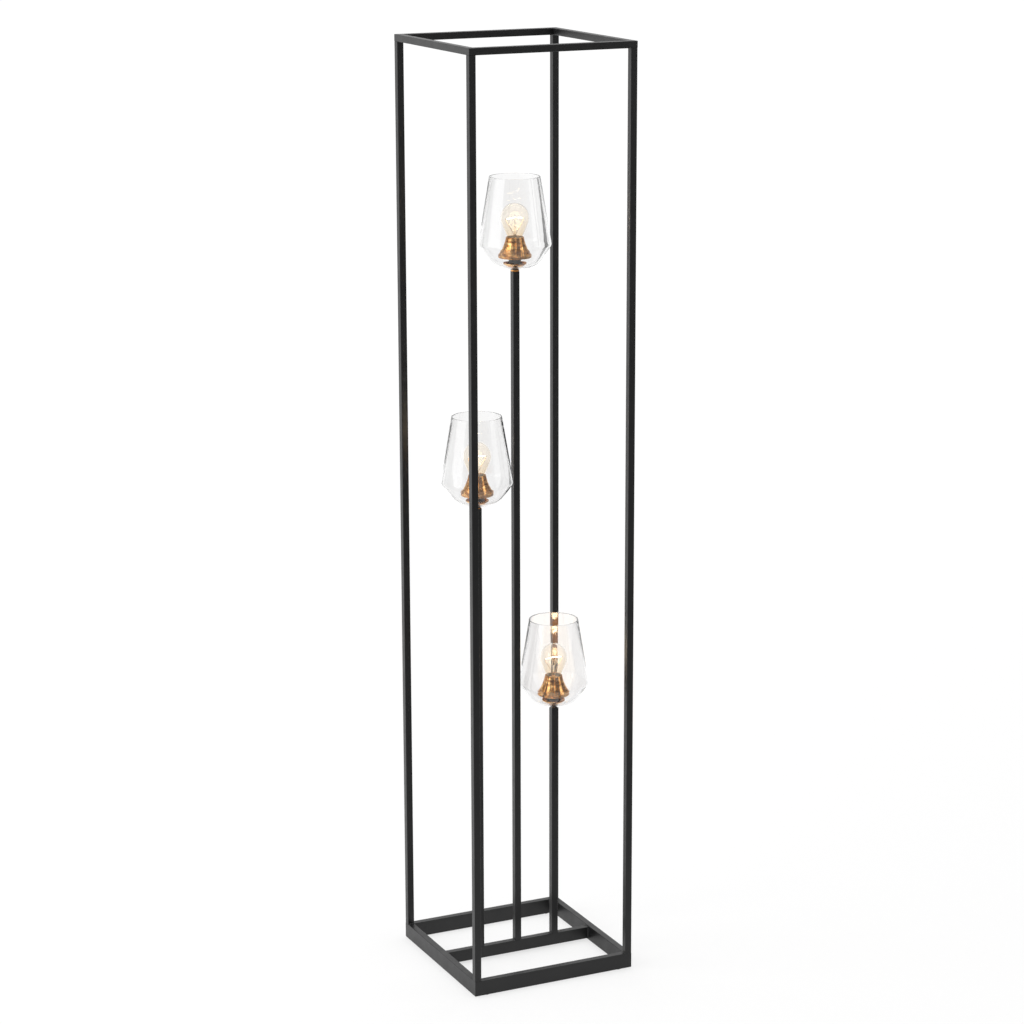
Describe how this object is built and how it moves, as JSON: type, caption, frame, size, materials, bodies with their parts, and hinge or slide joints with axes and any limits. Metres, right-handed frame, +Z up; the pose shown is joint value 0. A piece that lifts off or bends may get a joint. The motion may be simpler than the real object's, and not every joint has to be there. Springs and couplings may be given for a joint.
{
  "type": "floor lamp",
  "caption": "Tall open cage of slim black square tube on a base ring, holding clear tulip glass lamps with brass cones on square posts of stepped heights.",
  "frame": {"origin": "middle of the base, on the floor", "axes": "+Z up, lamps side by side along X, front towards -Y"},
  "size_m": [0.28, 0.2812, 1.5],
  "materials": {
    "black_metal": "satin black powder coat",
    "brass": "brushed, lacquered",
    "clear_glass": "clear, polished",
    "black_plastic": "moulded, matt",
    "rubber": "clear silicone, plain",
    "plated_steel": "brass plated",
    "contact_brass": "plain sheet",
    "bulb_glass": "clear, polished",
    "bulb_cap": "plain sheet",
    "bulb_contact": "black glass with a solder point",
    "filament": "tungsten, lit",
    "block_plastic": "natural",
    "wire_sleeve": "extruded sleeve"
  },
  "bodies": {
    "stand": {"base_cross_bar": "black_metal", "base_front_bar": "black_metal", "base_glides": "black_plastic", "base_left_bar": "black_metal", "base_rear_bar": "black_metal", "base_right_bar": "black_metal", "brass_collar_lower": "brass", "brass_collar_middle": "brass", "brass_collar_upper": "brass", "brass_cone_lower": "brass", "brass_cone_middle": "brass", "brass_cone_upper": "brass", "brass_cup_lower": "brass", "brass_cup_middle": "brass", "brass_cup_upper": "brass", "centre_contacts": "contact_brass", "feed_cable": "wire_sleeve", "glass_shade_lower": "clear_glass", "glass_shade_middle": "clear_glass", "glass_shade_upper": "clear_glass", "holder_base_lower": "black_plastic", "holder_base_middle": "black_plastic", "holder_base_upper": "black_plastic", "holder_body_lower": "black_plastic", "holder_body_middle": "black_plastic", "holder_body_upper": "black_plastic", "inlet_bush": "black_plastic", "lamp_leads": "wire_sleeve", "lamp_post_lower": "black_metal", "lamp_post_middle": "black_metal", "lamp_post_upper": "black_metal", "lock_nuts": "plated_steel", "post_plugs": "black_metal", "screw_shells": "contact_brass", "shade_washers": "rubber", "terminal_block": "block_plastic", "threaded_nipples": "plated_steel", "top_front_bar": "black_metal", "top_left_bar": "black_metal", "top_rear_bar": "black_metal", "top_right_bar": "black_metal", "upright_front_left": "black_metal", "upright_front_right": "black_metal", "upright_rear_left": "black_metal", "upright_rear_right": "black_metal"},
    "bulb_upper": {"bulb_glass_upper": "bulb_glass", "bulb_stem_upper": "bulb_glass", "bulb_cap_upper": "bulb_cap", "bulb_contact_upper": "bulb_contact", "bulb_filament_upper": "filament"},
    "bulb_middle": {"bulb_glass_middle": "bulb_glass", "bulb_stem_middle": "bulb_glass", "bulb_cap_middle": "bulb_cap", "bulb_contact_middle": "bulb_contact", "bulb_filament_middle": "filament"},
    "bulb_lower": {"bulb_glass_lower": "bulb_glass", "bulb_stem_lower": "bulb_glass", "bulb_cap_lower": "bulb_cap", "bulb_contact_lower": "bulb_contact", "bulb_filament_lower": "filament"}
  },
  "joints": [
    {"name": "bulb_upper_lift", "type": "slide", "parent": "stand", "child": "bulb_upper", "axis": [0, 0, 1], "range_m": [0, 0.13]},
    {"name": "bulb_middle_lift", "type": "slide", "parent": "stand", "child": "bulb_middle", "axis": [0, 0, 1], "range_m": [0, 0.13]},
    {"name": "bulb_lower_lift", "type": "slide", "parent": "stand", "child": "bulb_lower", "axis": [0, 0, 1], "range_m": [0, 0.13]}
  ]
}
